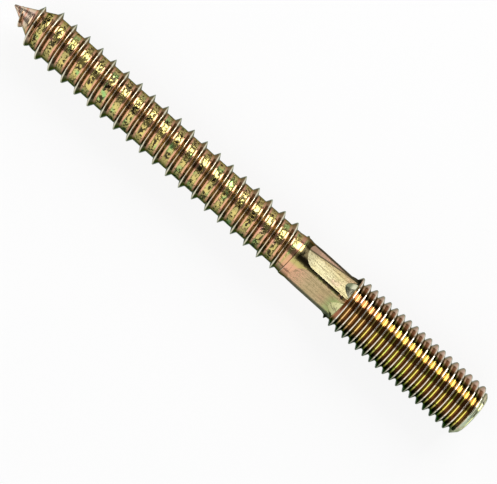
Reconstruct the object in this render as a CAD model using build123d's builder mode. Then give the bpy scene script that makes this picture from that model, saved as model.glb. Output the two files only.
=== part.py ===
from build123d import *
import os
from math import cos, pi, radians, sin, tan

# A steel hanger bolt, M10 x 1.5 at one end and wood thread at the other, with a short
# square driving section between them and a six-lobe recess in the machine end.
# It is forged and rolled from one blank, so it is one solid.
# The axis is X. The origin is the middle of the machine end's face and +X points out of it.
# The bolt lies, so +Z is up and the wood point is at -X. Lengths are in millimetres.

# Lengths along the axis
overall_length = 101.3
machine_length = 28.57
square_length = 9.65
shank_length = 1.63

# Machine end, a plain rod as wide over its whole length as the crests of its M10 x 1.5 thread
machine_radius = 4.94
end_chamfer = 1.04

# Wood thread and its gimlet point
wood_crest_radius = 4.49
wood_core_radius = 3.58
wood_pitch = 2.872
wood_crest_offset = 2.91
wood_run_out = 3.1
point_half_angle = 29
point_ridge_height = 0.91
point_plain_length = 1.5
point_fade_length = 1.2
tip_half_angle = 32
tip_length = 1.2

# Shank and square driving section
shank_radius = 3.9
shank_chamfer = 0.4
flat_distance = 2.95
flat_half_width = 2.67
flat_ramp_angle = 21
flat_ramp_blend = 2.0
cheek_length = 1.63
cheek_slope = 0.4

# Six-lobe recess in the machine end
recess_across_points = 4.5
recess_across_waists = 3.25
recess_lobe_radius = 0.39
recess_depth = 3.15
recess_nose_radius = 0.43
recess_nose_angle = 60
recess_turn = 41

# How the wood thread is drawn
flank_angle = 30
spans_per_turn = 24
least_ridge = 0.02
least_core = 0.05
sunk = 0.1
beyond = 1.0


def ramp(value, start, end):
    """Rise evenly from 0 at start to 1 at end."""
    return min(max((value - start) / (end - start), 0), 1)


def thread_point(axial, radius, angle):
    return Vector(axial, radius * cos(angle), radius * sin(angle))


def thread_span(place, start, end, crest_x, pitch):
    """One cubic span of a thread line, exact in place and direction at both ends.

    The line belongs to a ridge whose middle runs from start to end along the axis, and
    place gives the line's own axial position and radius for a middle at x.
    """

    def at(x):
        return thread_point(*place(x), 2 * pi * (x - crest_x) / pitch)

    small = (end - start) / 10000
    sweep = 2 * pi * (end - start) / pitch
    handle = 4 / 3 * tan(sweep / 4) * pitch / (2 * pi)
    leave = (at(start + small) - at(start)) * (handle / small)
    arrive = (at(end) - at(end - small)) * (handle / small)
    return Edge.make_bezier(at(start), at(start) + leave, at(end) - arrive, at(end))


def threaded_rod(core, crest, start, end, crest_x, pitch):
    """A solid rod with a sharp right-hand ridge, from 1.5 pitches before start to past end.

    core and crest give both radii for any place along the axis. In each half plane through
    the axis the surface is a zigzag of straight lines, and these lines wind up the rod.
    """

    def half_width(x):
        return max(crest(x) - core(x), least_ridge) * tan(radians(flank_angle))

    def foot_before(x):
        return x - half_width(x), core(x - half_width(x))

    def top(x):
        return x, max(crest(x), core(x) + least_ridge)

    def foot_after(x):
        return x + half_width(x), core(x + half_width(x))

    first = start - 1.5 * pitch
    spans = spans_per_turn * (int((end - start) / pitch) + 4)
    step = pitch / spans_per_turn
    lines = [
        [thread_span(place, first + step * n, first + step * (n + 1), crest_x, pitch) for n in range(spans)]
        for place in (foot_before, top, foot_after)
    ]
    before, tops, after = lines
    surface = [Face.make_surface_from_curves(*pair) for pair in zip(before, tops)]
    surface += [Face.make_surface_from_curves(*pair) for pair in zip(tops, after)]
    surface += [Face.make_surface_from_curves(*pair) for pair in zip(after, before[spans_per_turn:])]

    # A flat spiral ramp and a plane close each end
    def on_axis(point):
        return Vector(point.X, 0, 0)

    for edge in before[:spans_per_turn] + after[-spans_per_turn:]:
        middle = Edge.make_line(on_axis(edge @ 0), on_axis(edge @ 1))
        surface.append(Face.make_surface_from_curves(edge, middle))
    first_section = [line[0] @ 0 for line in lines] + [before[spans_per_turn - 1] @ 1]
    last_section = [after[-spans_per_turn] @ 0] + [line[-1] @ 1 for line in lines]
    for section in (first_section, last_section):
        corners = section + [on_axis(section[-1]), on_axis(section[0])]
        surface.append(Face(Wire.make_polygon(corners, close=True)))
    return Solid(Shell(surface))


# The wood thread runs out on the shank and reaches down the gimlet point, whose very
# tip is a little steeper than the rest of it.
square_end = -machine_length - square_length
wood_end = square_end - shank_length
tip = -overall_length
tip_slope = tan(radians(tip_half_angle))
point_slope = tan(radians(point_half_angle))
ridge_start = tip + point_plain_length


def point_surface(x):
    return tip_length * tip_slope + (x - tip - tip_length) * point_slope


def wood_core(x):
    rise = ramp(x, wood_end - wood_run_out / 2, wood_end)
    core = wood_core_radius + rise * (shank_radius - sunk - wood_core_radius)
    return max(min(core, point_surface(x)), least_core)


def wood_crest(x):
    height = point_ridge_height * ramp(x, ridge_start, ridge_start + point_fade_length)
    fall = (wood_crest_radius - shank_radius) * ramp(x, wood_end - wood_run_out, wood_end)
    return min(point_surface(x) + height, wood_crest_radius - fall)


with BuildPart() as wood_thread:
    add(threaded_rod(wood_core, wood_crest, tip, wood_end, wood_end - wood_crest_offset, wood_pitch))
    with BuildSketch(Plane.XZ):
        with BuildLine():
            Polyline(
                (tip, 0),
                (ridge_start, point_plain_length * tip_slope),
                (ridge_start, wood_crest_radius + beyond),
                (wood_end + sunk, wood_crest_radius + beyond),
                (wood_end + sunk, 0),
                close=True,
            )
        make_face()
    revolve(axis=Axis.X, mode=Mode.INTERSECT)

# The forging dies leave a flat with a ramp at the wood end and a round cheek at the other.
flat_ramp_slope = tan(radians(flat_ramp_angle))
ramp_foot = square_end + (shank_radius - flat_distance) / flat_ramp_slope
bite_height = shank_radius + beyond - flat_distance

with BuildPart() as die_bite:
    with BuildSketch(Plane.XZ) as bite_side:
        with BuildLine():
            Polyline(
                (ramp_foot, flat_distance),
                (-machine_length, flat_distance),
                (-machine_length, flat_distance + bite_height),
                (ramp_foot - bite_height / flat_ramp_slope, flat_distance + bite_height),
                close=True,
            )
        make_face()
        foot = bite_side.vertices().sort_by_distance((ramp_foot, 0, flat_distance))[0]
        fillet(foot, radius=flat_ramp_blend)
    extrude(amount=flat_half_width, both=True)
    with BuildSketch(Plane.XZ):
        with BuildLine():
            Polyline(
                (-machine_length - cheek_length, 0),
                (-machine_length - cheek_length, flat_distance),
                (-machine_length, flat_distance + cheek_length * cheek_slope),
                (-machine_length, 0),
                close=True,
            )
        make_face()
    revolve(axis=Axis.X, mode=Mode.SUBTRACT)

# The recess is pressed in by a six-lobed punch with a conical end and a small flat nose.
lobe_middle = recess_across_points / 2 - recess_lobe_radius
waist = recess_across_waists / 2
waist_radius = (
    recess_lobe_radius**2 - lobe_middle**2 - waist**2 + 2 * lobe_middle * waist * cos(radians(30))
) / (2 * (waist - lobe_middle * cos(radians(30)) - recess_lobe_radius))
nose_length = (recess_across_points / 2 - recess_nose_radius) / tan(radians(recess_nose_angle))


def polar(radius, angle):
    return Vector(radius * cos(radians(angle)), radius * sin(radians(angle)))


def lobe_joint(lobe_angle, waist_angle):
    """Where a lobe's arc runs smoothly into the arc of the waist beside it."""
    lobe = polar(lobe_middle, lobe_angle)
    towards = (polar(waist + waist_radius, waist_angle) - lobe).normalized()
    return lobe + towards * recess_lobe_radius


with BuildPart() as punch:
    with BuildSketch(Plane.YZ.offset(-recess_depth)):
        with BuildLine():
            for lobe_angle in range(recess_turn, recess_turn + 360, 60):
                leave = lobe_joint(lobe_angle, lobe_angle + 30)
                arrive = lobe_joint(lobe_angle + 60, lobe_angle + 30)
                ThreePointArc(
                    lobe_joint(lobe_angle, lobe_angle - 30),
                    polar(recess_across_points / 2, lobe_angle),
                    leave,
                )
                ThreePointArc(leave, polar(waist, lobe_angle + 30), arrive)
        make_face()
    extrude(amount=recess_depth)
    with BuildSketch(Plane.XZ):
        with BuildLine():
            Polyline(
                (-recess_depth, 0),
                (-recess_depth, recess_nose_radius),
                (-recess_depth + nose_length, recess_across_points / 2),
                (0, recess_across_points / 2),
                (0, 0),
                close=True,
            )
        make_face()
    revolve(axis=Axis.X, mode=Mode.INTERSECT)

with BuildPart() as hanger_bolt:
    with BuildSketch(Plane.XZ):
        with BuildLine():
            Polyline(
                (wood_end - shank_chamfer, 0),
                (wood_end - shank_chamfer, shank_radius - shank_chamfer),
                (wood_end, shank_radius),
                (-machine_length, shank_radius),
                (-machine_length, machine_radius),
                (-end_chamfer, machine_radius),
                (0, machine_radius - end_chamfer),
                (0, 0),
                close=True,
            )
        make_face()
    revolve(axis=Axis.X)
    add(wood_thread.part)
    for corner in range(45, 405, 90):
        add(die_bite.part.rotate(Axis.X, corner), mode=Mode.SUBTRACT)
    add(punch.part, mode=Mode.SUBTRACT)

hanger_bolt.part.label = "hanger_bolt"

os.makedirs("parts", exist_ok=True)
export_step(hanger_bolt.part, "parts/hanger_bolt.step")
print("volume", round(hanger_bolt.part.volume, 1), "mm3, valid", hanger_bolt.part.is_valid)
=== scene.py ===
# %% [markdown]
# # A hanger bolt in yellow zinc
# The bolt is one piece of steel: an M10 machine thread with a six-lobe recess in its end,
# a short square that a spanner holds, and a wood thread with a gimlet point. The packed
# part brings its real size and place, so it is loaded first and nothing of it is moved.

# %% Load the frame
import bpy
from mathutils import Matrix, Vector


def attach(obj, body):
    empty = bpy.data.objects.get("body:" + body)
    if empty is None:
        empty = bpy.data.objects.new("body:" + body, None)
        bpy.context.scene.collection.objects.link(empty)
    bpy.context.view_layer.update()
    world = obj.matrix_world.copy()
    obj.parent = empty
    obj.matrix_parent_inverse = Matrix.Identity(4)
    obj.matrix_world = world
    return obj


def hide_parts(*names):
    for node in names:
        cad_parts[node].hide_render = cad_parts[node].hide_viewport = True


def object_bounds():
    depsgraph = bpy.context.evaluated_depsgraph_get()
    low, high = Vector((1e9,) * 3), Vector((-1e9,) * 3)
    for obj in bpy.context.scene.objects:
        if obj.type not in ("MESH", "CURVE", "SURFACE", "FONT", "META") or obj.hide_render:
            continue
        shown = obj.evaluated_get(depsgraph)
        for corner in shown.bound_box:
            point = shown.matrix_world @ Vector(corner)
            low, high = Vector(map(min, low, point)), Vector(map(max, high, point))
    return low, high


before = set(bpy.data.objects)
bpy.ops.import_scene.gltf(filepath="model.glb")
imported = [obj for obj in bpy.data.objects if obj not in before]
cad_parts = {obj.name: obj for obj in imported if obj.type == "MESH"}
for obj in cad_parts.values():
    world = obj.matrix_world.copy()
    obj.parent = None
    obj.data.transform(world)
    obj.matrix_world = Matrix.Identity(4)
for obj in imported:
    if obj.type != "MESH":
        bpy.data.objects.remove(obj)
cad_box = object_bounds()
print("the packed part's box in metres", cad_box)

# %% [markdown]
# Blender works in metres, and a bolt is drawn in millimetres. Every size below is written in
# millimetres and multiplied by one factor where a mesh is made, as on a workshop drawing.

# %% Units and tools
import bmesh
import bpy
import math
from mathutils import Matrix, Vector
import numpy as np

MM = 0.001


def size_of(obj):
    low = np.min([v.co for v in obj.data.vertices], axis=0) / MM
    high = np.max([v.co for v in obj.data.vertices], axis=0) / MM
    return f"{obj.name}: x {low[0]:.2f} to {high[0]:.2f} mm, {len(obj.data.polygons)} faces"


def only(obj):
    """Select one object and nothing else, because an operator acts on all that is selected."""
    if bpy.context.mode != "OBJECT":
        bpy.ops.object.mode_set(mode="OBJECT")
    bpy.ops.object.select_all(action="DESELECT")
    obj.select_set(True)
    bpy.context.view_layer.objects.active = obj


def edit(obj):
    """Open one object in edit mode with all of its mesh selected."""
    only(obj)
    bpy.ops.object.mode_set(mode="EDIT")
    bpy.ops.mesh.select_all(action="SELECT")


# %% [markdown]
# The bolt's lengths and radii. The axis is X, the machine end's face is at 0 and the point is
# at -X, so a station along the bolt is simply a negative number of millimetres.

# %% Stations and radii
TIP = cad_box[0][0] / MM
SQUARE_START = -28.57
SQUARE_END = SQUARE_START - 9.65
WOOD_END = SQUARE_END - 1.63
SHANK_RADIUS = 3.9
FLAT_DISTANCE = 2.95
print(f"tip at {TIP:.2f}, square from {SQUARE_END} to {SQUARE_START}, wood thread up to {WOOD_END:.2f}")

# %% [markdown]
# Both threads and every turned part begin as one line, drawn point by point the way a drawing
# of a section is: a plane is merged to a single corner, and the corner is extruded along the
# points. A Screw modifier then turns the line about X. With no lift it is a lathe, and with a
# lift of one pitch a turn it is a thread-rolling machine.

# %% Draw a section and turn it
LATHE_STEPS = 192
THREAD_STEPS = 96
MERGE = 0.0005 * MM


def section(name, points):
    """An open line through (x, radius) points in millimetres, in the plane above the axis."""
    bpy.ops.object.select_all(action="DESELECT")
    bpy.ops.mesh.primitive_plane_add(size=MM)
    line = bpy.context.object
    line.name = name
    bpy.ops.object.mode_set(mode="EDIT")
    bpy.ops.mesh.select_mode(type="VERT")
    bpy.ops.mesh.select_all(action="SELECT")
    bpy.ops.mesh.merge(type="CENTER")
    bpy.ops.transform.translate(value=(points[0][0] * MM, 0, points[0][1] * MM))
    for (x, radius), (next_x, next_radius) in zip(points, points[1:]):
        step = ((next_x - x) * MM, 0, (next_radius - radius) * MM)
        bpy.ops.mesh.extrude_region_move(TRANSFORM_OT_translate={"value": step})
    bpy.ops.object.mode_set(mode="OBJECT")
    return line


def turn(line, steps, lift=0.0, turns=1):
    """Turn a section about X, a full circle or so many turns of a thread, and weld it."""
    only(line)
    screw = line.modifiers.new("turn", "SCREW")
    screw.axis = "X"
    screw.steps = screw.render_steps = steps
    screw.screw_offset = lift * MM
    screw.iterations = turns
    bpy.ops.object.modifier_apply(modifier=screw.name)
    edit(line)
    bpy.ops.mesh.remove_doubles(threshold=MERGE)
    bpy.ops.mesh.normals_make_consistent(inside=False)
    bpy.ops.object.mode_set(mode="OBJECT")
    return line


def saw_off(obj, x, keep):
    """Cut square across the axis at x and close the cut. keep is -1 for the point's side."""
    edit(obj)
    bpy.ops.mesh.bisect(
        plane_co=(x * MM, 0, 0),
        plane_no=(1, 0, 0),
        use_fill=True,
        clear_outer=keep < 0,
        clear_inner=keep > 0,
        threshold=MERGE / 10,
    )
    bpy.ops.object.mode_set(mode="OBJECT")


def combine(obj, other, operation):
    """Join, cut or trim one solid with another, which is used up."""
    only(obj)
    change = obj.modifiers.new("combine", "BOOLEAN")
    change.operation = operation
    change.solver = "EXACT"
    change.object = other
    bpy.ops.object.modifier_apply(modifier=change.name)
    bpy.data.objects.remove(other)
    return obj


# %% [markdown]
# A real thread isn't the same all the way. It fades out where the rolling dies let go, and on
# the gimlet point the ridge runs down a cone. So a plain thread is screwed first, and then
# each of its rings is pressed to the core and crest radii of its own station, the way soft
# steel follows the dies. A ridge that gets lower gets narrower as well and keeps its angle.

# %% Press a thread to shape
FLANK = math.radians(30)
NARROWEST = 0.2


def ramp(value, start, end):
    """Rise evenly from 0 at start to 1 at end."""
    return np.clip((value - start) / (end - start), 0, 1)


def read_corners(obj):
    """Every corner in millimetres, its angle round the axis and its distance from it."""
    corners = np.empty(len(obj.data.vertices) * 3)
    obj.data.vertices.foreach_get("co", corners)
    corners = corners.reshape(-1, 3) / MM
    return corners, np.arctan2(corners[:, 2], corners[:, 1]), np.hypot(corners[:, 1], corners[:, 2])


def ridge_middle(x, angle, pitch, crest_x):
    """The station of the nearest ridge's middle, at this angle round the axis."""
    around = crest_x + pitch * angle / (2 * math.pi)
    return around + pitch * np.round((x - around) / pitch)


def press_thread(rod, pitch, crest_x, land, plain_core, plain_crest, core, crest):
    """Move the corners of a plain screwed thread to the core(x) and crest(x) wanted.

    crest_x is where the ridge crosses the +Y side, and land is half the width of its top.
    """
    corners, angle, radius = read_corners(rod)

    # Each corner's place within its own turn: the ridge's middle and the distance from it
    middle = ridge_middle(corners[:, 0], angle, pitch, crest_x)
    aside = corners[:, 0] - middle
    side = np.sign(aside)
    distance = np.abs(aside)

    # The ridge shrinks about its middle, and the valley takes up what it leaves
    plain_height = plain_crest - plain_core
    plain_foot = land + plain_height * math.tan(FLANK)
    height = np.maximum(crest(middle) - core(middle), 0)
    shrink = np.maximum(height / plain_height, NARROWEST)
    foot = plain_foot * shrink
    valley = foot + (distance - plain_foot) * (pitch / 2 - foot) / (pitch / 2 - plain_foot)
    distance = np.where(distance < plain_foot, distance * shrink, valley)
    share = (radius - plain_core) / plain_height
    station = middle + side * distance
    base = np.where(distance < foot, core(middle + side * foot), core(station))
    radius = base + share * np.maximum(crest(middle) - base, 0)

    corners[:, 0] = station
    corners[:, 1] = radius * np.cos(angle)
    corners[:, 2] = radius * np.sin(angle)
    rod.data.vertices.foreach_set("co", (corners * MM).ravel())
    rod.data.update()


# %% [markdown]
# The wood thread. Its ridge is thin, 60 degrees across and nearly sharp, with a small fillet
# where it leaves the core. It fades out on the shank and winds down the gimlet point, whose
# very tip is plain and a little steeper.

# %% Wood thread
WOOD_PITCH = 2.872
WOOD_CORE = 3.58
WOOD_CREST = 4.49
WOOD_LAND = 0.03
WOOD_FILLET = 0.16
WOOD_RUN_OUT = 3.1
LAST_RIDGE = 0.9
WOOD_CREST_X = WOOD_END - 2.91
POINT_SLOPE = math.tan(math.radians(29))
TIP_SLOPE = math.tan(math.radians(32))
TIP_LENGTH = 1.2
POINT_PLAIN = 1.5
POINT_FADE = 1.2
POINT_RIDGE = 0.91
TIP_RADIUS = 0.05
SUNK = 0.1
FADED = 0.02
FADE_POWER = 1.6
FLANK_POINT = (0.45, 0.55)
LAND_EDGE = (1.6, 0.6)
SCREW_START = 0.25


def thread_section(pitch, core, crest, land, fillet, arc_points):
    """One pitch of a thread from valley to valley, with an arc at each foot of the ridge."""
    reach = land + (crest - core) * math.tan(FLANK)
    tangent = fillet * math.tan((math.pi / 2 - FLANK) / 2)
    half = [(pitch / 2, core)]
    for n in range(arc_points + 1):
        bend = (math.pi / 2 - FLANK) * n / arc_points
        half.append((reach + tangent - fillet * math.sin(bend), core + fillet * (1 - math.cos(bend))))
    inwards, upwards = FLANK_POINT
    half.append((land + (crest - core) * math.tan(FLANK) * inwards, core + (crest - core) * upwards))
    half.append((land * LAND_EDGE[0], crest - land))
    half.append((land * LAND_EDGE[1], crest))
    return [(-x, r) for x, r in half] + [(x, r) for x, r in reversed(half)]


def point_surface(x):
    """The radius of the bare point, whose tip is a little steeper."""
    return np.minimum((x - TIP) * TIP_SLOPE, TIP_LENGTH * TIP_SLOPE + (x - TIP - TIP_LENGTH) * POINT_SLOPE)


def wood_core(x):
    """The radius between the ridges, which rises to the shank at the run-out."""
    rise = ramp(x, WOOD_END - WOOD_RUN_OUT / 2, WOOD_END)
    core = WOOD_CORE + rise * (SHANK_RADIUS - SUNK - WOOD_CORE)
    return np.maximum(np.minimum(core, point_surface(x)), TIP_RADIUS)


def wood_crest(x):
    """The radius of the ridge's top, which starts on the point and fades out on the shank."""
    height = POINT_RIDGE * ramp(x, TIP + POINT_PLAIN, TIP + POINT_PLAIN + POINT_FADE)
    fading = ramp(x, WOOD_END - WOOD_RUN_OUT, WOOD_END + LAST_RIDGE) ** FADE_POWER
    fall = (WOOD_CREST - SHANK_RADIUS + FADED) * fading
    return np.minimum(point_surface(x) + height, WOOD_CREST - fall)


# A section is drawn above the axis, a quarter turn on from the +Y side. Two turns are spare.
wood_turns = math.ceil((WOOD_END - TIP) / WOOD_PITCH) + 2
wood_points = thread_section(WOOD_PITCH, WOOD_CORE, WOOD_CREST, WOOD_LAND, WOOD_FILLET, arc_points=3)
wood_start = WOOD_CREST_X + WOOD_PITCH * (2 + SCREW_START - wood_turns)
wood_rod = section("wood_rod", [(x + wood_start, r) for x, r in wood_points])
turn(wood_rod, THREAD_STEPS, WOOD_PITCH, wood_turns)
press_thread(wood_rod, WOOD_PITCH, WOOD_CREST_X, WOOD_LAND, WOOD_CORE, WOOD_CREST, wood_core, wood_crest)
saw_off(wood_rod, WOOD_END + LAST_RIDGE + SUNK, keep=-1)
saw_off(wood_rod, TIP, keep=1)
print(size_of(wood_rod))

# %% [markdown]
# The machine thread is M10 x 1.5: 60 degrees, a narrow flat on the crest and a round root, as
# rolling leaves it. It starts on the corners of the square, where the blank swells out of the
# shank, and only full turns later reach the whole way round.

# %% Machine thread
MACHINE_PITCH = 1.5
MACHINE_CREST = 4.93
MACHINE_ROOT = 4.075
MACHINE_LAND = MACHINE_PITCH / 16
MACHINE_CREST_X = -28.45
SWELL_START = -30.43
SWELL_END = -29.44
RIDGE_START = -29.9
RIDGE_FULL = -28.6
BLANK_RADIUS = 3.8
CREST_EDGE = (1.25, 0.7)
CREST_ROUND = 0.04
SPARE_TURNS = 4
MACHINE_SAW = -31.5
MACHINE_END = 0.5
ROOT_APEX = MACHINE_CREST - (MACHINE_PITCH / 2 - MACHINE_LAND) / math.tan(FLANK)
ROOT_ROUND = MACHINE_ROOT - ROOT_APEX


def round_root_section(arc_points):
    """One pitch of the machine thread, whose root is one arc between the two flanks."""
    centre = MACHINE_ROOT + ROOT_ROUND
    half = []
    for n in range(arc_points + 1):
        bend = (math.pi / 2 - FLANK) * n / arc_points
        half.append((MACHINE_PITCH / 2 - ROOT_ROUND * math.sin(bend), centre - ROOT_ROUND * math.cos(bend)))
    middle = (MACHINE_CREST + half[-1][1]) / 2
    half.append((MACHINE_LAND + (MACHINE_CREST - middle) * math.tan(FLANK), middle))
    half.append((MACHINE_LAND * CREST_EDGE[0], MACHINE_CREST - CREST_ROUND))
    half.append((MACHINE_LAND * CREST_EDGE[1], MACHINE_CREST))
    return [(-x, r) for x, r in half] + [(x, r) for x, r in reversed(half)]


def machine_core(x):
    """The radius of the roots, which swell out of the blank at the square."""
    return BLANK_RADIUS + (MACHINE_ROOT - BLANK_RADIUS) * ramp(x, SWELL_START, SWELL_END)


def machine_crest(x):
    """The radius of the crests, which rise from the blank over the first turn."""
    return machine_core(x) + (MACHINE_CREST - MACHINE_ROOT) * ramp(x, RIDGE_START, RIDGE_FULL)


machine_turns = math.ceil(-MACHINE_SAW / MACHINE_PITCH) + 3
machine_start = MACHINE_CREST_X + MACHINE_PITCH * SCREW_START - SPARE_TURNS * MACHINE_PITCH
machine_points = round_root_section(arc_points=4)
machine_rod = section("machine_rod", [(x + machine_start, r) for x, r in machine_points])
turn(machine_rod, THREAD_STEPS, MACHINE_PITCH, machine_turns)
press_thread(
    machine_rod,
    MACHINE_PITCH,
    MACHINE_CREST_X,
    MACHINE_LAND,
    MACHINE_ROOT,
    MACHINE_CREST,
    machine_core,
    machine_crest,
)
saw_off(machine_rod, MACHINE_SAW, keep=1)
saw_off(machine_rod, MACHINE_END, keep=-1)
print(size_of(machine_rod))

# %% [markdown]
# The end of the rod is faced and chamfered before it is threaded, so the first turns are cut
# by the chamfer's cone. The same is done here: the thread is trimmed by a turned envelope.

# %% Chamfer the machine end
CHAMFER = 1.04
FACE_RADIUS = 4.94 - CHAMFER
WIDE = 6.0
EDGE = 0.03
BEYOND = 1.0

envelope = section(
    "envelope",
    [
        (0, 0),
        (0, FACE_RADIUS - EDGE),
        (-EDGE * 0.3, FACE_RADIUS - EDGE * 0.2),
        (-EDGE, FACE_RADIUS + EDGE),
        (FACE_RADIUS - WIDE, WIDE),
        (MACHINE_SAW - BEYOND, WIDE),
        (MACHINE_SAW - BEYOND, 0),
    ],
)
turn(envelope, LATHE_STEPS)
combine(machine_rod, envelope, "INTERSECT")
print(size_of(machine_rod))

# %% [markdown]
# Between the threads the blank stays plain. It is turned from a line, with a small chamfer at
# the side of the wood thread. The dies of the square drew its steel in a little, so the line
# has a shallow dip there: each pair says how far along from the square's end, and how deep.

# %% Shank
SHANK_CHAMFER = 0.4
SHANK_END = -29.0
NECK_DEPTH = 0.04
DIP = ((1.7, NECK_DEPTH), (0.6, 0.07), (-0.1, 0.10), (-0.4, 0.09), (-0.9, 0.015), (-1.15, 0))

bolt = section(
    "bolt",
    [
        (SHANK_END, 0),
        (SHANK_END, SHANK_RADIUS - NECK_DEPTH),
        *[(SQUARE_END + along, SHANK_RADIUS - depth) for along, depth in DIP],
        (WOOD_END, SHANK_RADIUS),
        (WOOD_END - SHANK_CHAMFER, SHANK_RADIUS - SHANK_CHAMFER),
        (WOOD_END - SHANK_CHAMFER, 0),
    ],
)
turn(bolt, LATHE_STEPS)
combine(bolt, machine_rod, "UNION")
combine(bolt, wood_rod, "UNION")
print(size_of(bolt))

# %% [markdown]
# Four dies press the square. Each leaves a flat that runs out in a hollow curve towards the
# wood thread and ends in a round cheek at the machine thread. So a die is drawn from the side,
# filled and drawn out to its width, and a turned cone is taken out of it for the cheek.

# %% Press the square
FLAT_HALF_WIDTH = 2.67
DIE_HEIGHT = 3.0
DIE_ROUND = 3.9
DIE_FOOT = SQUARE_END + 2.09
DIE_STEPS = 20
CHEEK_LENGTH = 1.63
CHEEK_SLOPE = 0.4
CHEEK_BEYOND = 0.5


def block(name, low, high):
    """A box between two corners in millimetres, with its place in its mesh."""
    bpy.ops.object.select_all(action="DESELECT")
    bpy.ops.mesh.primitive_cube_add(size=1)
    box = bpy.context.object
    box.name = name
    low, high = Vector(low) * MM, Vector(high) * MM
    box.data.transform(Matrix.Translation((low + high) / 2) @ Matrix.Diagonal((*(high - low), 1)))
    return box


def slab(name, side, half_width):
    """A solid with this side view in (x, height), drawn out to both sides of the axis."""
    solid = section(name, side + side[:1])
    edit(solid)
    bpy.ops.mesh.remove_doubles(threshold=MERGE)
    bpy.ops.mesh.edge_face_add()
    bpy.ops.transform.translate(value=(0, -half_width * MM, 0))
    bpy.ops.mesh.extrude_region_move(TRANSFORM_OT_translate={"value": (0, 2 * half_width * MM, 0)})
    bpy.ops.mesh.select_all(action="SELECT")
    bpy.ops.mesh.normals_make_consistent(inside=False)
    bpy.ops.object.mode_set(mode="OBJECT")
    return solid


steepest = math.acos(1 - DIE_HEIGHT / DIE_ROUND)
bends = [steepest * n / DIE_STEPS for n in range(DIE_STEPS + 1)]
hollow = [
    (DIE_FOOT - DIE_ROUND * math.sin(bend), FLAT_DISTANCE + DIE_ROUND * (1 - math.cos(bend)))
    for bend in bends
]
die_side = [(SQUARE_START, FLAT_DISTANCE), *hollow, (SQUARE_START, hollow[-1][1])]
die = slab("die", die_side, FLAT_HALF_WIDTH)
print(size_of(die))
cheek = section(
    "cheek",
    [
        (SQUARE_START - CHEEK_LENGTH, 0),
        (SQUARE_START - CHEEK_LENGTH, FLAT_DISTANCE),
        (SQUARE_START + CHEEK_BEYOND, FLAT_DISTANCE + (CHEEK_LENGTH + CHEEK_BEYOND) * CHEEK_SLOPE),
        (SQUARE_START + CHEEK_BEYOND, 0),
    ],
)
turn(cheek, LATHE_STEPS)
combine(die, cheek, "DIFFERENCE")
dies = []
for corner in range(45, 405, 90):
    copy = die.copy()
    copy.data = die.data.copy()
    bpy.context.scene.collection.objects.link(copy)
    copy.data.transform(Matrix.Rotation(math.radians(corner), 4, "X"))
    dies.append(copy)
bpy.data.objects.remove(die)
only(dies[0])
for copy in dies:
    copy.select_set(True)
bpy.ops.object.join()
combine(bolt, dies[0], "DIFFERENCE")
print(size_of(bolt))

# %% [markdown]
# The upper die had a worn edge, and it left a fine raised line along its flat. It is a thin
# bar, let into the steel by most of its height.

# %% Die mark
MARK_ASIDE = 0.8
MARK_STEP = 0.08
MARK_HIGH = 0.05
MARK_ROOT = 0.2
MARK_HALF_WIDTH = 0.07
MARK_BARS = ((1.7, 6.2, MARK_ASIDE), (6.1, 8.3, MARK_ASIDE + MARK_STEP))

for start, end, aside in MARK_BARS:
    low = (SQUARE_END + start, aside - MARK_HALF_WIDTH, FLAT_DISTANCE - MARK_ROOT)
    high = (SQUARE_END + end, aside + MARK_HALF_WIDTH, FLAT_DISTANCE + MARK_HIGH)
    bar = block("bar", low, high)
    bar.data.transform(Matrix.Rotation(math.radians(-45), 4, "X"))
    combine(bolt, bar, "UNION")
print(size_of(bolt))

# %% [markdown]
# The recess is pressed by a punch with six lobes and a conical end. Its outline is six small
# arcs joined by six large ones that curve the other way. The punch draws the edge of the
# mouth in a little, so the outline is widened on its last rings along a quarter circle.

# %% Press the recess
ACROSS_POINTS = 4.5
ACROSS_WAISTS = 3.25
LOBE_RADIUS = 0.39
RECESS_DEPTH = 3.15
NOSE_RADIUS = 0.43
NOSE_SLOPE = 1 / math.tan(math.radians(60))
RECESS_TURN = 41
MOUTH_ROUND = 0.17
LOBE_MIDDLE = ACROSS_POINTS / 2 - LOBE_RADIUS
WAIST = ACROSS_WAISTS / 2
COS_30 = math.cos(math.radians(30))
WAIST_RADIUS = (LOBE_RADIUS**2 - LOBE_MIDDLE**2 - WAIST**2 + 2 * LOBE_MIDDLE * WAIST * COS_30) / (
    2 * (WAIST - LOBE_MIDDLE * COS_30 - LOBE_RADIUS)
)
ARC_STEPS = 8
MOUTH_BENDS = np.radians((0, 18, 36, 54, 72, 90))
PUNCH_END = 0.5


def polar(radius, degrees):
    """A point in (Y, Z), by its distance from the axis and its direction."""
    return Vector((radius * math.cos(math.radians(degrees)), radius * math.sin(math.radians(degrees))))


def arc(centre, radius, start, end):
    """Points on an arc from one direction to another, the short way round, without the last."""
    first = math.atan2(*(start - centre).yx)
    sweep = (math.atan2(*(end - centre).yx) - first + math.pi) % (2 * math.pi) - math.pi
    turns = [first + sweep * n / ARC_STEPS for n in range(ARC_STEPS)]
    return [centre + Vector((math.cos(t), math.sin(t))) * radius for t in turns]


def lobed_outline(widened):
    """The recess's outline in (Y, Z), moved outwards by an even distance."""
    points = []
    for lobe in range(RECESS_TURN, RECESS_TURN + 360, 60):
        middle = polar(LOBE_MIDDLE, lobe)
        before, after = polar(WAIST + WAIST_RADIUS, lobe - 30), polar(WAIST + WAIST_RADIUS, lobe + 30)
        points += arc(middle, LOBE_RADIUS + widened, before, after)
        points += arc(after, WAIST_RADIUS - widened, middle, polar(LOBE_MIDDLE, lobe + 60))
    return points


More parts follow.
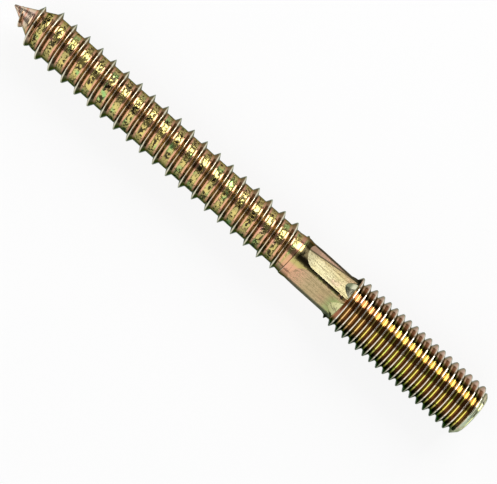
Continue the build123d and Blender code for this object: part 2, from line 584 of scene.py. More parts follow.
def place_ring(obj, x, outline):
    """Put the selected ring of corners on an outline, in the order in which it was made."""
    mesh = bmesh.from_edit_mesh(obj.data)
    ring = sorted((v for v in mesh.verts if v.select), key=lambda v: v.index)
    for corner, (y, z) in zip(ring, outline):
        corner.co = Vector((x, y, z)) * MM
    bmesh.update_edit_mesh(obj.data)


bpy.ops.object.select_all(action="DESELECT")
bpy.ops.mesh.primitive_circle_add(vertices=len(lobed_outline(0)), radius=MM)
punch = bpy.context.object
punch.name = "punch"
bpy.ops.object.mode_set(mode="EDIT")
bpy.ops.mesh.select_all(action="SELECT")
place_ring(punch, -RECESS_DEPTH - BEYOND, lobed_outline(0))
rings = [
    (-MOUTH_ROUND * (1 - math.sin(bend)), MOUTH_ROUND * (1 - math.cos(bend))) for bend in MOUTH_BENDS
]
for x, widened in rings + [(PUNCH_END, MOUTH_ROUND)]:
    bpy.ops.mesh.extrude_region_move()
    place_ring(punch, x, lobed_outline(widened))
bpy.ops.mesh.select_all(action="SELECT")
bpy.ops.mesh.select_mode(type="EDGE")
bpy.ops.mesh.select_non_manifold()
bpy.ops.mesh.edge_face_add()
bpy.ops.object.mode_set(mode="OBJECT")
print(size_of(punch))
nose_reach = (ACROSS_POINTS / 2 + BEYOND) - NOSE_RADIUS
nose = section(
    "nose",
    [
        (-RECESS_DEPTH, 0),
        (-RECESS_DEPTH, NOSE_RADIUS),
        (-RECESS_DEPTH + nose_reach * NOSE_SLOPE, NOSE_RADIUS + nose_reach),
        (BEYOND, NOSE_RADIUS + nose_reach),
        (BEYOND, 0),
    ],
)
turn(nose, LATHE_STEPS)
combine(punch, nose, "INTERSECT")
combine(bolt, punch, "DIFFERENCE")
print(size_of(bolt))

# %% [markdown]
# Boolean cuts leave hard corners where they should be, and the threads should look smooth, so
# faces are shaded smooth except where two of them meet at a clear angle.

# %% Shade the bolt
CLEAR_ANGLE = 28

edit(bolt)
bpy.ops.mesh.remove_doubles(threshold=MERGE)
bpy.ops.mesh.dissolve_degenerate(threshold=MERGE)
bpy.ops.object.mode_set(mode="OBJECT")
bpy.ops.object.shade_smooth_by_angle(angle=math.radians(CLEAR_ANGLE))
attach(bolt, "root")
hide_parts("hanger_bolt")
triangles = sum(len(face.vertices) - 2 for face in bolt.data.polygons)
print(f"the bolt has {triangles} triangles")

# %% [markdown]
# The plating isn't the same everywhere on a thread: crests are rubbed pale, flanks are darker,
# partly a thick film and partly painted shade, and the valleys get bands of their own. Three
# numbers on every corner tell the materials where it lies: how high up a ridge it is, how far
# from the ridge's middle, and which of the ridge's two flanks it is on.

# %% Mark the threads
LEAST_HEIGHT = 0.05
ON_RIDGE = 0.02


def mark_threads(obj):
    """Write ridge, aside and facing on every corner, for the materials to read."""
    corners, angle, radius = read_corners(obj)
    x = corners[:, 0]
    ridge = np.zeros(len(x))
    aside = np.full(len(x), WOOD_PITCH / 2)
    facing = np.zeros(len(x))
    for pitch, crest_x, core, crest, here in (
        (WOOD_PITCH, WOOD_CREST_X, wood_core, wood_crest, x < WOOD_END + LAST_RIDGE),
        (MACHINE_PITCH, MACHINE_CREST_X, machine_core, machine_crest, x > SWELL_START),
    ):
        middle = ridge_middle(x, angle, pitch, crest_x)
        height = np.maximum(crest(middle) - core(middle), LEAST_HEIGHT)
        share = np.clip((radius - core(x)) / height, 0, 1)
        ridge = np.where(here, share, ridge)
        aside = np.where(here, np.abs(x - middle), aside)
        facing = np.where(here, np.sign(x - middle) * (share > ON_RIDGE), facing)
    for name, values in (("ridge", ridge), ("aside", aside), ("facing", facing)):
        mark = obj.data.attributes.new(name, "FLOAT", "POINT")
        mark.data.foreach_set("value", values.astype(np.float32))
        print(f"{name} runs from {values.min():.2f} to {values.max():.2f}")


mark_threads(bolt)

# %% [markdown]
# Yellow zinc is a thin clear film on bright metal, and its colour comes from the film's
# thickness: gold for the most part, with patches of olive, pink and green. The shader stays a
# plain metal, and what changes over the surface comes from a few node groups.

# %% Build node groups
def node(tree, kind, inputs=None, **settings):
    """Add a node. An input takes a number, a colour or another node's output."""
    made = tree.nodes.new(kind)
    for name, value in settings.items():
        setattr(made, name, value)
    for name, value in (inputs or {}).items():
        if isinstance(value, bpy.types.NodeSocket):
            tree.links.new(value, made.inputs[name])
        else:
            made.inputs[name].default_value = value
    return made


def blend_colours(tree, share, first, second, kind="MIX"):
    """The colour between two others, nearer to the second as share rises to 1."""
    made = node(tree, "ShaderNodeMix", {0: share, 6: first, 7: second}, data_type="RGBA", blend_type=kind)
    return made.outputs[2]


def between(tree, value, low, high, out_low=0.0, out_high=1.0):
    """Map a value smoothly from one span to another, and no further."""
    spans = {"Value": value, "From Min": low, "From Max": high, "To Min": out_low, "To Max": out_high}
    return node(tree, "ShaderNodeMapRange", spans, interpolation_type="SMOOTHSTEP").outputs[0]


def calculate(tree, operation, first, second=0.0):
    """A sum, product or other result of two values."""
    return node(tree, "ShaderNodeMath", {0: first, 1: second}, operation=operation).outputs[0]


def times(tree, first, second):
    return calculate(tree, "MULTIPLY", first, second)


def new_group(name, inputs, outputs):
    """An empty node group with named sockets, and its input and output nodes."""
    group = bpy.data.node_groups.new(name, "ShaderNodeTree")
    for title, kind, value in inputs:
        socket = group.interface.new_socket(title, in_out="INPUT", socket_type="NodeSocket" + kind)
        socket.default_value = value
    for title, kind in outputs:
        group.interface.new_socket(title, in_out="OUTPUT", socket_type="NodeSocket" + kind)
    return group, node(group, "NodeGroupInput").outputs, node(group, "NodeGroupOutput").inputs


def noise(tree, place, scale, detail, pattern, roughness=0.5, distortion=0.0):
    """Cloudy noise. Each pattern number gives other clouds at the same scale."""
    settings = {
        "Vector": place, "W": pattern, "Scale": scale,
        "Detail": detail, "Roughness": roughness, "Distortion": distortion,
    }
    return node(tree, "ShaderNodeTexNoise", settings, noise_dimensions="4D").outputs["Fac"]


def place_in_mm(tree, stretch=(1, 1, 1)):
    """Where a point of the bolt lies, in millimetres, with an axis squeezed or stretched."""
    where = node(tree, "ShaderNodeTexCoord").outputs["Object"]
    scale = tuple(part / MM for part in stretch)
    return node(tree, "ShaderNodeMapping", {"Vector": where, "Scale": scale}).outputs[0]


def coordinate(tree, axis):
    """One coordinate of a point of the bolt, in millimetres."""
    return node(tree, "ShaderNodeSeparateXYZ", {0: place_in_mm(tree)}).outputs[axis]


# %% [markdown]
# The film's colour. A cloud of noise at the size of the patches on the real bolt chooses
# between gold and olive, and two more clouds lay pink and green patches over them.

# %% Film colour group
GOLD = (0.62, 0.50, 0.20, 1)
OLIVE = (0.42, 0.36, 0.13, 1)
PINK = (0.72, 0.38, 0.28, 1)
GREEN = (0.30, 0.50, 0.17, 1)
PALE = (0.84, 0.78, 0.62, 1)
PATCH_LEVEL = 0.75
PATCH_EDGE = 0.14

film, given, result = new_group(
    "film_colour",
    [
        ("Gold", "Color", GOLD),
        ("Olive", "Color", OLIVE),
        ("Pink", "Color", PINK),
        ("Green", "Color", GREEN),
        ("Patches per mm", "Float", 0.35),
        ("Pink share", "Float", 0.5),
        ("Green share", "Float", 0.4),
    ],
    [("Color", "Color")],
)
where = place_in_mm(film)
clouds = [noise(film, where, given["Patches per mm"], 2, pattern) for pattern in (1.3, 4.7, 8.1)]
colour = blend_colours(film, between(film, clouds[0], 0.38, 0.62), given["Gold"], given["Olive"])
for cloud, share, patch in ((clouds[1], "Pink share", "Pink"), (clouds[2], "Green share", "Green")):
    start = calculate(film, "SUBTRACT", PATCH_LEVEL, times(film, given[share], 0.5))
    end = calculate(film, "ADD", start, PATCH_EDGE)
    colour = blend_colours(film, between(film, cloud, start, end), colour, given[patch])
film.links.new(colour, result["Color"])
print(f"{film.name} has {len(film.nodes)} nodes")

# %% [markdown]
# Rolled valleys aren't clean: scale and small laps leave dark pits. A fine noise is cut at a
# level so that only its peaks are pits, and a coarser one gathers them in clusters.

# %% Pits group
PIT_LEVEL = 0.72
PIT_EDGE = 0.07

pits, given, result = new_group(
    "pits",
    [("Pits per mm", "Float", 1.6), ("Amount", "Float", 0.5)],
    [("Mask", "Float"), ("Height", "Float")],
)
where = place_in_mm(pits, (1, 0.8, 0.8))
specks = noise(pits, where, given["Pits per mm"], 2, 2.2, distortion=0.4)
gathered = noise(pits, where, times(pits, given["Pits per mm"], 0.35), 1, 6.4)
clusters = times(pits, calculate(pits, "SUBTRACT", gathered, 0.5), 0.5)
level = calculate(pits, "ADD", specks, clusters)
start = calculate(pits, "SUBTRACT", PIT_LEVEL, times(pits, given["Amount"], 0.25))
end = calculate(pits, "ADD", start, PIT_EDGE)
mask = between(pits, level, start, end)
pits.links.new(mask, result["Mask"])
pits.links.new(calculate(pits, "SUBTRACT", times(pits, level, 0.6), mask), result["Height"])
print(f"{pits.name} has {len(pits.nodes)} nodes")

# %% [markdown]
# Drawing and rolling leave fine lines. A noise is drawn out far along the bolt, or round it,
# and its spots become lines that run the same way.

# %% Lines group
def lines_group(name, stretch):
    """A group that gives the height of fine lines, which run along the axes of small stretch."""
    group, given, result = new_group(name, [("Lines per mm", "Float", 6.0)], [("Height", "Float")])
    where = place_in_mm(group, stretch)
    group.links.new(noise(group, where, given["Lines per mm"], 3, 3.3), result["Height"])
    return group


lengthwise = lines_group("lengthwise_lines", (0.06, 1, 1))
roundabout = lines_group("roundabout_lines", (1, 0.05, 0.05))
print(f"{lengthwise.name} and {roundabout.name} have {len(lengthwise.nodes)} nodes each")

# %% [markdown]
# Steel that has been rolled and tumbled isn't flat in the valleys either: it has shallow
# dents about half a millimetre apart, which break up every reflection. The sideways mask rises
# towards one side of the bolt, and with it the finishes paint shade and reflections, nearly black green on
# the right side.

# %% Dents and sideways groups
dents, given, result = new_group("dents", [("Dents per mm", "Float", 1.6)], [("Height", "Float")])
where = place_in_mm(dents, (1, 0.8, 0.8))
dents.links.new(noise(dents, where, given["Dents per mm"], 1, 9.2), result["Height"])

sideways, given, result = new_group(
    "sideways",
    [("Side", "Float", -1.0), ("Start in mm", "Float", 2.4), ("Full in mm", "Float", 3.6)],
    [("Mask", "Float")],
)
depth = times(sideways, coordinate(sideways, "Y"), given["Side"])
sideways.links.new(between(sideways, depth, given["Start in mm"], given["Full in mm"]), result["Mask"])
print(f"{dents.name} has {len(dents.nodes)} nodes and {sideways.name} {len(sideways.nodes)}")

# %% [markdown]
# One function makes a finish from its shader and the place where the groups are put. The
# numbers that stay the same all over are set on the shader itself.

# %% Start a finish
EDGE_TINT = (0.26, 0.32, 0.26, 1)
LEFT, RIGHT = 1, -1


def start_finish(name, roughness):
    """A new metal with a tint for grazing views: the material, its node tree and its shader."""
    material = bpy.data.materials.new(name)
    material.use_nodes = True
    tree = material.node_tree
    shader = tree.nodes["Principled BSDF"]
    shader.inputs["Metallic"].default_value = 1
    shader.inputs["Roughness"].default_value = roughness
    shader.inputs["Specular Tint"].default_value = EDGE_TINT
    return material, tree, shader


def use(tree, group, inputs=None):
    """Put a group into a finish with its own values, and give its outputs."""
    made = node(tree, "ShaderNodeGroup", node_tree=group)
    for name, value in (inputs or {}).items():
        made.inputs[name].default_value = value
    return made.outputs


def filmed(tree, patches, pink=0.5, green=0.4, **films):
    """The film's colour, with patches of this many to a millimetre and its own shares and films."""
    shares = {"Patches per mm": patches, "Pink share": pink, "Green share": green}
    return use(tree, film, {**shares, **films})["Color"]


def on_side(tree, side, start, full):
    """A mask that rises from start to full, in millimetres from the axis, on one side."""
    return use(tree, sideways, {"Side": side, "Start in mm": start, "Full in mm": full})["Mask"]


def shaded_side(tree, colour, side, start, full, amount, tint_or_light_there):
    """Take another colour on the LEFT side (+Y) or the RIGHT side (-Y) of the bolt; the calls use it for
    film tints and for painted shade, painted reflections and painted highlights.
    """
    mask = on_side(tree, side, start, full)
    return blend_colours(tree, times(tree, mask, amount), colour, tint_or_light_there)


def lay(tree, colour, tint_or_light_there, value, low, high, most=1.0):
    """Lay another colour over a colour, film colours and painted light alike, from none where a value is
    low to most where it's high.
    """
    return blend_colours(tree, between(tree, value, low, high, 0.0, most), colour, tint_or_light_there)


def marked(tree, name):
    """One of the numbers that mark_threads wrote on the corners."""
    return node(tree, "ShaderNodeAttribute", attribute_name=name).outputs["Fac"]


def carve(tree, shader, height, depth, under=None):
    """Bump the surface by a height in millimetres times depth."""
    inputs = {"Height": height, "Distance": depth * MM, "Strength": 1.0}
    if under:
        inputs["Normal"] = under
    bump = node(tree, "ShaderNodeBump", inputs)
    tree.links.new(bump.outputs[0], shader.inputs["Normal"])
    return bump.outputs[0]


def paint(tree, shader, colour):
    """Give the shader its colour, which ends the colour's part of a finish."""
    tree.links.new(colour, shader.inputs["Base Color"])
    print(f"{len(tree.nodes)} nodes so far in this finish")


# %% [markdown]
# The wood thread: valleys of olive gold with dark pits, a pink band beside each ridge, brown
# flanks, partly painted shade, and rubbed, nearly silver crests, with painted shade towards both sides.

# %% Wood thread finish
BROWN = (0.44, 0.29, 0.20, 1)
VALLEY_GOLD = (0.62, 0.51, 0.17, 1)
# Near black for the pits and the dark line on the square, and for painted shade round the shank's tongues
DARK_MARKS_AND_SHADE = (0.05, 0.04, 0.02, 1)
# Painted shade and painted dark reflection, nearly black green, towards the right side
PAINTED_SHADE_GREEN = (0.045, 0.065, 0.045, 1)
# Painted shade in dark brown, towards the left side
PAINTED_SHADE_BROWN = (0.24, 0.14, 0.10, 1)
# Painted reflections in pink and brown towards the left side of the machine thread; the pink is also in its
# painted highlight
REFLECTION_PINK = (0.84, 0.58, 0.49, 1)
REFLECTION_BROWN = (0.50, 0.31, 0.21, 1)
TIP_PINK = (0.88, 0.66, 0.56, 1)
DEEP_PINK = (0.66, 0.31, 0.21, 1)

wood_finish, tree, shader = start_finish("zinc_wood_thread", roughness=0.18)
colour = filmed(tree, 0.5, pink=0.3, green=0.42, Gold=VALLEY_GOLD)
pitted = use(tree, pits, {"Pits per mm": 2.2, "Amount": 0.8})
ridge, aside = marked(tree, "ridge"), marked(tree, "aside")
along = coordinate(tree, "X")

# The point is rubbed pink, and a pink band runs beside each ridge
colour = lay(tree, colour, TIP_PINK, along, TIP + 5, TIP + 3, 0.75)
band = times(tree, between(tree, aside, 0.45, 0.6), between(tree, aside, 0.98, 0.72))
colour = blend_colours(tree, times(tree, band, 0.85), colour, DEEP_PINK)

# Pits lie in the valleys alone, and neither on the point nor on the run-out
off_point = between(tree, along, TIP + 2.5, TIP + 6)
in_valley = times(tree, between(tree, aside, 0.75, 1.15), off_point)
in_valley = times(tree, in_valley, between(tree, along, WOOD_END - 0.6, WOOD_END - 1.6))
speck = times(tree, pitted["Mask"], in_valley)
colour = blend_colours(tree, speck, colour, DARK_MARKS_AND_SHADE)
colour = lay(tree, colour, DEEP_PINK, along, WOOD_END - 1.2, WOOD_END - 0.4, 0.7)

# Brown flanks, partly painted shade, painted shade towards the two sides, and the pale crests over them
colour = lay(tree, colour, BROWN, ridge, 0.02, 0.2)
colour = shaded_side(tree, colour, LEFT, 2.3, 3.1, 0.45, PAINTED_SHADE_BROWN)
colour = shaded_side(tree, colour, RIGHT, 2.2, 3.5, 0.85, PAINTED_SHADE_GREEN)
paint(tree, shader, lay(tree, colour, PALE, ridge, 0.74, 0.9))
pit_height = times(tree, pitted["Height"], 0.7)
uneven = calculate(tree, "ADD", use(tree, dents)["Height"], pit_height)
fine = carve(tree, shader, use(tree, roundabout)["Height"], 0.008)
carve(tree, shader, times(tree, uneven, in_valley), 0.16, fine)

# %% [markdown]
# The machine thread: clear yellow in the roots, red brown and moss green on the two flanks of
# each ridge, and thin pale crests, with painted highlights, reflections and shade towards the sides.

# %% Machine thread finish
YELLOW = (0.84, 0.74, 0.13, 1)
RUSSET = (0.43, 0.15, 0.10, 1)
MOSS = (0.24, 0.26, 0.10, 1)
# Painted highlight in orange and cream, towards the left side
ORANGE = (0.96, 0.54, 0.22, 1)
CREAM = (0.95, 0.84, 0.46, 1)
# Painted shade and painted dark reflection, nearly black
PAINTED_SHADE_BLACK = (0.03, 0.03, 0.015, 1)
CREST_GREY = (0.70, 0.66, 0.54, 1)
RED_GOLD = (0.82, 0.36, 0.22, 1)
YELLOW_GREEN = (0.62, 0.76, 0.14, 1)
END_PALE = (0.78, 0.78, 0.58, 1)
END_OLIVE = (0.62, 0.64, 0.44, 1)
END_GREEN = (0.56, 0.68, 0.52, 1)

machine_finish, tree, shader = start_finish("zinc_machine_thread", roughness=0.16)
colour = filmed(tree, 0.3, pink=0.3, green=0.3)
ridge, facing = marked(tree, "ridge"), marked(tree, "facing")

# The flank that faces the point is russet and the other one moss green, both partly painted shade
colour = blend_colours(tree, 0.85, colour, RUSSET)
colour = lay(tree, colour, MOSS, facing, 0.0, 1.0, 0.8)

# The roots are yellow, in clouds of green, and red gold nearer to the square; the bright yellow line is
# partly a painted highlight
along = coordinate(tree, "X")
clouds = noise(tree, place_in_mm(tree), 0.45, 2, 7.7)
cloudy_place = calculate(tree, "SUBTRACT", times(tree, clouds, 16), along)
by_square = between(tree, cloudy_place, 27, 34)
bright = lay(tree, YELLOW, YELLOW_GREEN, clouds, 0.45, 0.6)
bright = blend_colours(tree, times(tree, by_square, 0.65), bright, RED_GOLD)

# Towards the left side come a painted orange and cream highlight, the roots over it, painted black shade,
# then painted brown and pink reflections
pale_flank = blend_colours(tree, by_square, CREAM, REFLECTION_PINK)
lit = lay(tree, ORANGE, pale_flank, facing, -0.5, 0.5)
colour = shaded_side(tree, colour, LEFT, 1.15, 1.45, 0.75, lit)
colour = lay(tree, colour, bright, ridge, 0.045, 0.012)
colour = shaded_side(tree, colour, LEFT, 2.3, 2.55, 0.85, PAINTED_SHADE_BLACK)
colour = shaded_side(tree, colour, LEFT, 3.1, 3.4, 0.85, REFLECTION_BROWN)
colour = shaded_side(tree, colour, LEFT, 3.9, 4.3, 0.85, REFLECTION_PINK)

# The right side gets painted shade, the crests are grey and the first turn is pale
colour = shaded_side(tree, colour, RIGHT, 2.7, 3.7, 0.86, PAINTED_SHADE_GREEN)
colour = lay(tree, colour, CREST_GREY, ridge, 0.965, 0.992)
colour = shaded_side(tree, colour, RIGHT, 3.6, 4.3, 0.55, PAINTED_SHADE_GREEN)
paint(tree, shader, lay(tree, colour, END_PALE, along, -1.6, -0.9, 0.55))
fine = carve(tree, shader, use(tree, roundabout)["Height"], 0.006)
carve(tree, shader, use(tree, dents, {"Dents per mm": 1.2})["Height"], 0.045, fine)

# %% [markdown]
# The plain shank takes the same film on smoother steel. Painted shade darkens both sides and
# the part round the tongue in which a flat ends, and makes the round cheeks at the thread dark green beside
# a painted cream highlight.

# %% Shank finish
SHANK_PINK = (0.66, 0.33, 0.22, 1)
# Painted highlight in cream, on the cheeks and on the rim of the end
PAINTED_HIGHLIGHT_CREAM = (0.92, 0.88, 0.62, 1)
# Painted shade in dark green on the cheeks
CHEEK_SHADE_GREEN = (0.26, 0.29, 0.18, 1)
CHEEK_TAN = (0.56, 0.54, 0.26, 1)

shank_finish, tree, shader = start_finish("zinc_shank", roughness=0.20)
colour = filmed(tree, 0.3)
# Pink towards the right side, then painted shade in dark green on the right and in dark brown on the left
colour = shaded_side(tree, colour, RIGHT, 0.8, 1.6, 0.8, SHANK_PINK)
colour = shaded_side(tree, colour, RIGHT, 2.9, 3.7, 0.85, PAINTED_SHADE_GREEN)
colour = shaded_side(tree, colour, LEFT, 2.3, 3.2, 0.55, PAINTED_SHADE_BROWN)
along = coordinate(tree, "X")
# Painted shade round the tongue in which a flat ends, and along the left edge
by_tongue = between(tree, along, SQUARE_END - 1.6, SQUARE_END - 1.0)
round_tongue = times(tree, on_side(tree, LEFT, -0.6, 0.3), by_tongue)
colour = blend_colours(tree, round_tongue, colour, DARK_MARKS_AND_SHADE)
colour = shaded_side(tree, colour, LEFT, 3.3, 3.6, 0.9, PAINTED_SHADE_BROWN)
# Painted shade in dark green on the cheeks, tan towards the right, and a painted cream highlight beside
# them
on_cheek = between(tree, along, SQUARE_START - 1.8, SQUARE_START - 1.5, 0, 0.9)
colour = blend_colours(tree, on_cheek, colour, CHEEK_SHADE_GREEN)
colour = lay(tree, colour, PAINTED_HIGHLIGHT_CREAM, along, SQUARE_START - 1.0, SQUARE_START - 0.4, 0.85)
cheek_below = times(tree, on_side(tree, RIGHT, 0.5, 1.0), on_cheek)
paint(tree, shader, blend_colours(tree, cheek_below, colour, CHEEK_TAN))
fine = carve(tree, shader, use(tree, roundabout)["Height"], 0.012)
carve(tree, shader, use(tree, dents, {"Dents per mm": 1.1})["Height"], 0.09, fine)

# %% [markdown]
# The square keeps the lines of the drawn rod, a little matt. Its film is pale, which partly
# stands for light on the left flat. The right side is tan, a painted shade, with pink and green,
# and the left side is tan towards its edge, with a dark line near the left edge. That line isn't quite
# parallel to the axis, so it is found by a sum of the two coordinates.

# %% Square finish
FLAT_PINK = (0.92, 0.52, 0.34, 1)
BAND_BROWN = (0.50, 0.32, 0.22, 1)
# The square's film is pale, partly its own colour and partly painted light on the left flat
PRESSED_GOLD = (0.98, 0.90, 0.56, 1)
PRESSED_OLIVE = (0.90, 0.80, 0.44, 1)
PRESSED_PINK = (0.94, 0.70, 0.48, 1)
# Painted shade in tan, over the right flat and towards the left flat's edge
TAN = (0.50, 0.33, 0.16, 1)
GRAIN_BROWN = (0.34, 0.26, 0.13, 1)
LINE_SLANT = 0.13

square_finish, tree, shader = start_finish("zinc_square", roughness=0.40)
colour = filmed(tree, 0.25, green=0.1, Gold=PRESSED_GOLD, Olive=PRESSED_OLIVE, Pink=PRESSED_PINK)
drawn = use(tree, lengthwise, {"Lines per mm": 4.0})["Height"]
grain = use(tree, dents, {"Dents per mm": 4.0})["Height"]
along = coordinate(tree, "X")

# The right side, tan as painted shade, pink by the shank and green by the machine thread
colour = shaded_side(tree, colour, RIGHT, -0.2, 0.2, 0.72, TAN)
lower = on_side(tree, RIGHT, 0.2, 1.2)
near_shank = between(tree, along, SQUARE_END + 3.6, SQUARE_END + 0.4, 0, 0.75)
colour = blend_colours(tree, times(tree, lower, near_shank), colour, FLAT_PINK)
near_thread = between(tree, along, SQUARE_START - 3.2, SQUARE_START - 1.6, 0, 0.6)
colour = blend_colours(tree, times(tree, lower, near_thread), colour, GREEN)

# The left side, with painted shade towards its edge, the grain of the drawn rod, and the dark line near the
# edge
colour = shaded_side(tree, colour, LEFT, 1.6, 3.4, 0.7, TAN)
colour = lay(tree, colour, GRAIN_BROWN, drawn, 0.5, 0.6, 0.5)
colour = lay(tree, colour, GRAIN_BROWN, grain, 0.55, 0.66, 0.6)
slanted = times(tree, along, LINE_SLANT)
edge = calculate(tree, "SUBTRACT", coordinate(tree, "Y"), slanted)
colour = lay(tree, colour, DARK_MARKS_AND_SHADE, edge, 7.25, 7.4, 0.85)
colour = lay(tree, colour, BAND_BROWN, edge, 7.5, 7.65)
# Painted shade along the outer edges of both flats, nearly black on the left and black green on the right
colour = shaded_side(tree, colour, LEFT, 3.4, 3.55, 0.92, PAINTED_SHADE_BLACK)
paint(tree, shader, shaded_side(tree, colour, RIGHT, 3.15, 3.55, 0.9, PAINTED_SHADE_GREEN))
carve(tree, shader, drawn, 0.03, carve(tree, shader, grain, 0.02))

# %% [markdown]
# The faced end shows the film in rings: green round the recess, pink on the crumpled middle,
# and a silvery green rim. In the recess it is a deep gold and red, in rays that run in to a
# small pale spot at the bottom. A direction without its length makes the same colour all along
# a ray, because only its angle is left.

# %% End and recess finishes
FACE_PINK = (0.56, 0.34, 0.27, 1)
FACE_GREEN = (0.22, 0.30, 0.12, 1)
FACE_OLIVE = (0.34, 0.32, 0.18, 1)
RECESS_GOLD = (0.90, 0.58, 0.07, 1)
RECESS_RED = (0.36, 0.09, 0.03, 1)
RECESS_OLIVE = (0.42, 0.36, 0.08, 1)
SPOT = (0.62, 0.70, 0.36, 1)


def off_axis(tree):
    """The vector from the axis to a point, and how long it is in millimetres."""
    arm = place_in_mm(tree, (0, 1, 1))
    return arm, node(tree, "ShaderNodeVectorMath", {0: arm}, operation="LENGTH").outputs["Value"]


end_finish, tree, shader = start_finish("zinc_end", roughness=0.28)
pale = filmed(tree, 0.6, pink=0.2, green=0.6, Gold=END_PALE, Olive=END_OLIVE, Green=END_GREEN)
# Painted highlight: cream on the left side of the pale rim
rim = shaded_side(tree, pale, LEFT, 1.2, 1.6, 0.8, PAINTED_HIGHLIGHT_CREAM)
reach = off_axis(tree)[1]
colour = filmed(tree, 0.5, green=0.5, Gold=FACE_PINK, Olive=FACE_OLIVE, Green=FACE_GREEN)
colour = lay(tree, colour, FACE_GREEN, reach, 3.0, 2.5, 0.8)
paint(tree, shader, lay(tree, colour, rim, reach, 3.5, 3.9))
carve(tree, shader, use(tree, dents, {"Dents per mm": 1.6})["Height"], 0.12)

recess_finish, tree, shader = start_finish("zinc_recess", roughness=0.30)
arm, reach = off_axis(tree)
direction = node(tree, "ShaderNodeVectorMath", {0: arm}, operation="NORMALIZE").outputs["Vector"]
rays = noise(tree, direction, 5.0, 2, 1.7)
colour = lay(tree, RECESS_RED, RECESS_GOLD, rays, 0.42, 0.58)
colour = lay(tree, colour, RECESS_OLIVE, noise(tree, direction, 2.0, 1, 5.9), 0.5, 0.65)
paint(tree, shader, lay(tree, colour, SPOT, reach, 0.48, 0.38))
carve(tree, shader, rays, 0.15)

# %% [markdown]
# The bolt is one mesh, so each face is told which of the six finishes it has, by its place. A
# flat of the square is known by the way it looks as well: towards one of the four dies.

# %% Give each face its finish
FINISHES = [wood_finish, machine_finish, shank_finish, square_finish, end_finish, recess_finish]
WOOD, MACHINE, SHANK, SQUARE, END, RECESS = range(len(FINISHES))
RECESS_REACH = ACROSS_POINTS / 2 + MOUTH_ROUND
MOUTH_DEPTH = 1
LEVEL = 0.6
LEVEL_ALONG = 0.8
SAME_TURN = 0.02
BELOW_SHANK = 0.15
THREAD_FROM = SHANK_RADIUS - 0.08


def towards_die(y, z):
    """How far a direction or a place reaches towards the nearest of the four dies."""
    return max(abs(y + z), abs(y - z)) / math.sqrt(2)


def finish_of(face):
    """The number of the finish for a face, by its place and the way it looks."""
    x, y, z = face.center / MM
    normal = face.normal
    radius = math.hypot(y, z)
    if x > -RECESS_DEPTH - 0.1 and x < -MOUTH_ROUND / 2 and radius < RECESS_REACH:
        return RECESS
    if x > -CHAMFER and normal.x > LEVEL or radius < RECESS_REACH and x > -MOUTH_DEPTH:
        return END
    if x < WOOD_END:
        return WOOD
    if x > SQUARE_START:
        return MACHINE
    pressed_in = towards_die(y, z) < SHANK_RADIUS - BELOW_SHANK
    flat = towards_die(normal.y, normal.z) > LEVEL and pressed_in
    even = abs(abs(normal.y) - abs(normal.z)) < SAME_TURN
    if flat and abs(normal.x) < LEVEL_ALONG and even:
        return SQUARE
    return MACHINE if radius > THREAD_FROM and x > SWELL_START else SHANK


bolt.data.materials.clear()
for finish in FINISHES:
    bolt.data.materials.append(finish)
for face in bolt.data.polygons:
    face.material_index = finish_of(face)
for number, finish in enumerate(FINISHES):
    print(finish.name, sum(face.material_index == number for face in bolt.data.polygons), "faces")

# %% [markdown]
# The border of a flat is crisp on the real bolt, although a cheek leaves it at a small angle,
# so the edges between a flat's finish and any other are marked sharp.

# %% Keep the borders of the flats crisp
only(bolt)
bpy.ops.object.mode_set(mode="EDIT")
bpy.ops.mesh.select_mode(type="EDGE")
bpy.ops.mesh.select_all(action="DESELECT")
mesh = bmesh.from_edit_mesh(bolt.data)
for edge in mesh.edges:
    finishes = {face.material_index for face in edge.link_faces}
    edge.select_set(SQUARE in finishes and len(finishes) > 1)
bmesh.update_edit_mesh(bolt.data)
bpy.ops.mesh.mark_sharp()
bpy.ops.mesh.select_mode(type="VERT")
bpy.ops.object.mode_set(mode="OBJECT")

# %% [markdown]
# The bolt lies on plain white paper. For the light on it the paper is matt, and keeps a soft
# shadow. For the camera and what the metal mirrors it is an even white, by Light Path.

# %% Floor
FLOOR_Z = cad_box[0][2]
FLOOR_WHITE = 0.85
FLOOR_WIDTH = 1200
PAPER_GREY = (0.9, 0.9, 0.9, 1)

bpy.ops.object.select_all(action="DESELECT")
bpy.ops.mesh.primitive_plane_add(size=FLOOR_WIDTH * MM)
floor = bpy.context.object
floor.name = "floor"
floor.data.transform(Matrix.Translation((0, 0, FLOOR_Z)))
pale_floor = bpy.data.materials.new("pale_floor")
pale_floor.use_nodes = True
tree = pale_floor.node_tree
paper = tree.nodes["Principled BSDF"]
paper.inputs["Base Color"].default_value = PAPER_GREY
paper.inputs["Roughness"].default_value = 1
paper.inputs["Specular IOR Level"].default_value = 0
light = node(tree, "ShaderNodeLightPath").outputs
seen = calculate(tree, "MAXIMUM", light["Is Camera Ray"], light["Is Glossy Ray"])
seen = calculate(tree, "MAXIMUM", seen, light["Is Transmission Ray"])
white = node(tree, "ShaderNodeEmission").outputs[0]
share = times(tree, seen, FLOOR_WHITE)
mixed = node(tree, "ShaderNodeMixShader", {0: share, 1: paper.outputs[0], 2: white})
tree.links.new(mixed.outputs[0], tree.nodes["Material Output"].inputs["Surface"])
floor.data.materials.append(pale_floor)
print(f"floor {FLOOR_WIDTH} mm wide at {FLOOR_Z / MM:.2f} mm")

# %% [markdown]
# The camera hangs above the bolt, and is rolled so that the bolt lies across the picture. It
# is near, because the crests of the threads are seen as bulging curves.

# %% Camera
FRAME_WIDTH = 82.1
DISTANCE = 320.0
SENSOR = 36.0
TARGET = Vector((-46.78, -3.39, 0)) * MM
ROLL = 41.86
TILT = -2.3

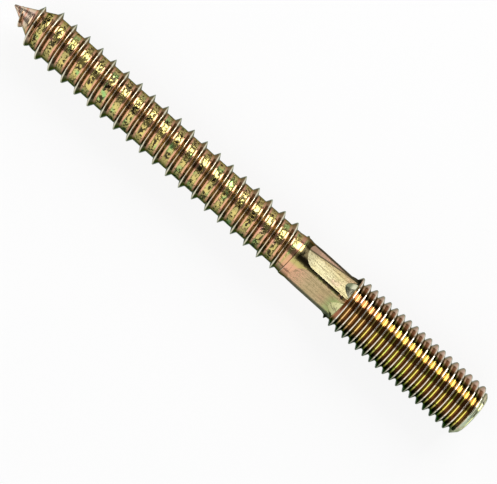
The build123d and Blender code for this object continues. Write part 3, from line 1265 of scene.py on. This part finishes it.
camera_data = bpy.data.cameras.new("camera")
camera_data.sensor_width = SENSOR
camera_data.lens = SENSOR * DISTANCE / FRAME_WIDTH
camera = bpy.data.objects.new("camera", camera_data)
bpy.context.scene.collection.objects.link(camera)
turned = Matrix.Rotation(math.radians(TILT), 4, "Y") @ Matrix.Rotation(math.radians(ROLL), 4, "Z")
camera.matrix_world = Matrix.Translation(TARGET) @ turned @ Matrix.Translation((0, 0, DISTANCE * MM))
bpy.context.scene.camera = camera
print(f"lens of {camera_data.lens:.1f} mm, {DISTANCE:.0f} mm above the bolt")

# %% [markdown]
# Round metal shows a lamp as a bright line along it, so a lamp is placed by where it stands
# round the axis and how wide it looks from there. The key draws the bright line, the fill
# lights the other side, and two small lamps light what faces the point and the machine end.

# %% Lamps
LAMP_DISTANCE = 380


def softbox(name, across, spread, along, radiance, lean=0):
    """A strip lamp, as seen from the bolt's axis. Its angles are in degrees.

    across is the direction of its middle from straight up, and spread its width. along is its
    length in millimetres, radiance how bright it looks, and lean tips it along the bolt.
    """
    aim = Matrix.Rotation(math.radians(lean), 4, "Y") @ Matrix.Rotation(math.radians(-across), 4, "X")
    lamp_data = bpy.data.lights.new(name, "AREA")
    lamp_data.shape = "RECTANGLE"
    lamp_data.size = along * MM
    lamp_data.size_y = 2 * LAMP_DISTANCE * math.tan(math.radians(spread / 2)) * MM
    lamp_data.energy = radiance * math.pi * lamp_data.size * lamp_data.size_y
    lamp = bpy.data.objects.new(name, lamp_data)
    lamp.matrix_world = Matrix.Translation(TARGET) @ aim @ Matrix.Translation((0, 0, LAMP_DISTANCE * MM))
    bpy.context.scene.collection.objects.link(lamp)
    print(f"{name}: {along} by {lamp_data.size_y / MM:.0f} mm, {lamp_data.energy:.2f} W")


softbox("key", across=54, spread=40, along=250, radiance=4.8)
softbox("fill", across=-46, spread=74, along=600, radiance=1.15)
softbox("point_side", across=0, spread=70, along=150, radiance=1.5, lean=-58)
softbox("end_side", across=0, spread=70, along=130, radiance=1.0, lean=80)

# %% [markdown]
# A weak, even world lifts the darkest parts. Standard keeps each colour as it is written.

# %% World
WORLD_STRENGTH = 0.15

world = bpy.data.worlds.new("studio")
world.use_nodes = True
world.node_tree.nodes["Background"].inputs["Color"].default_value = (1, 1, 1, 1)
world.node_tree.nodes["Background"].inputs["Strength"].default_value = WORLD_STRENGTH
bpy.context.scene.world = world
bpy.context.scene.view_settings.view_transform = "Standard"
print("world of strength", WORLD_STRENGTH)
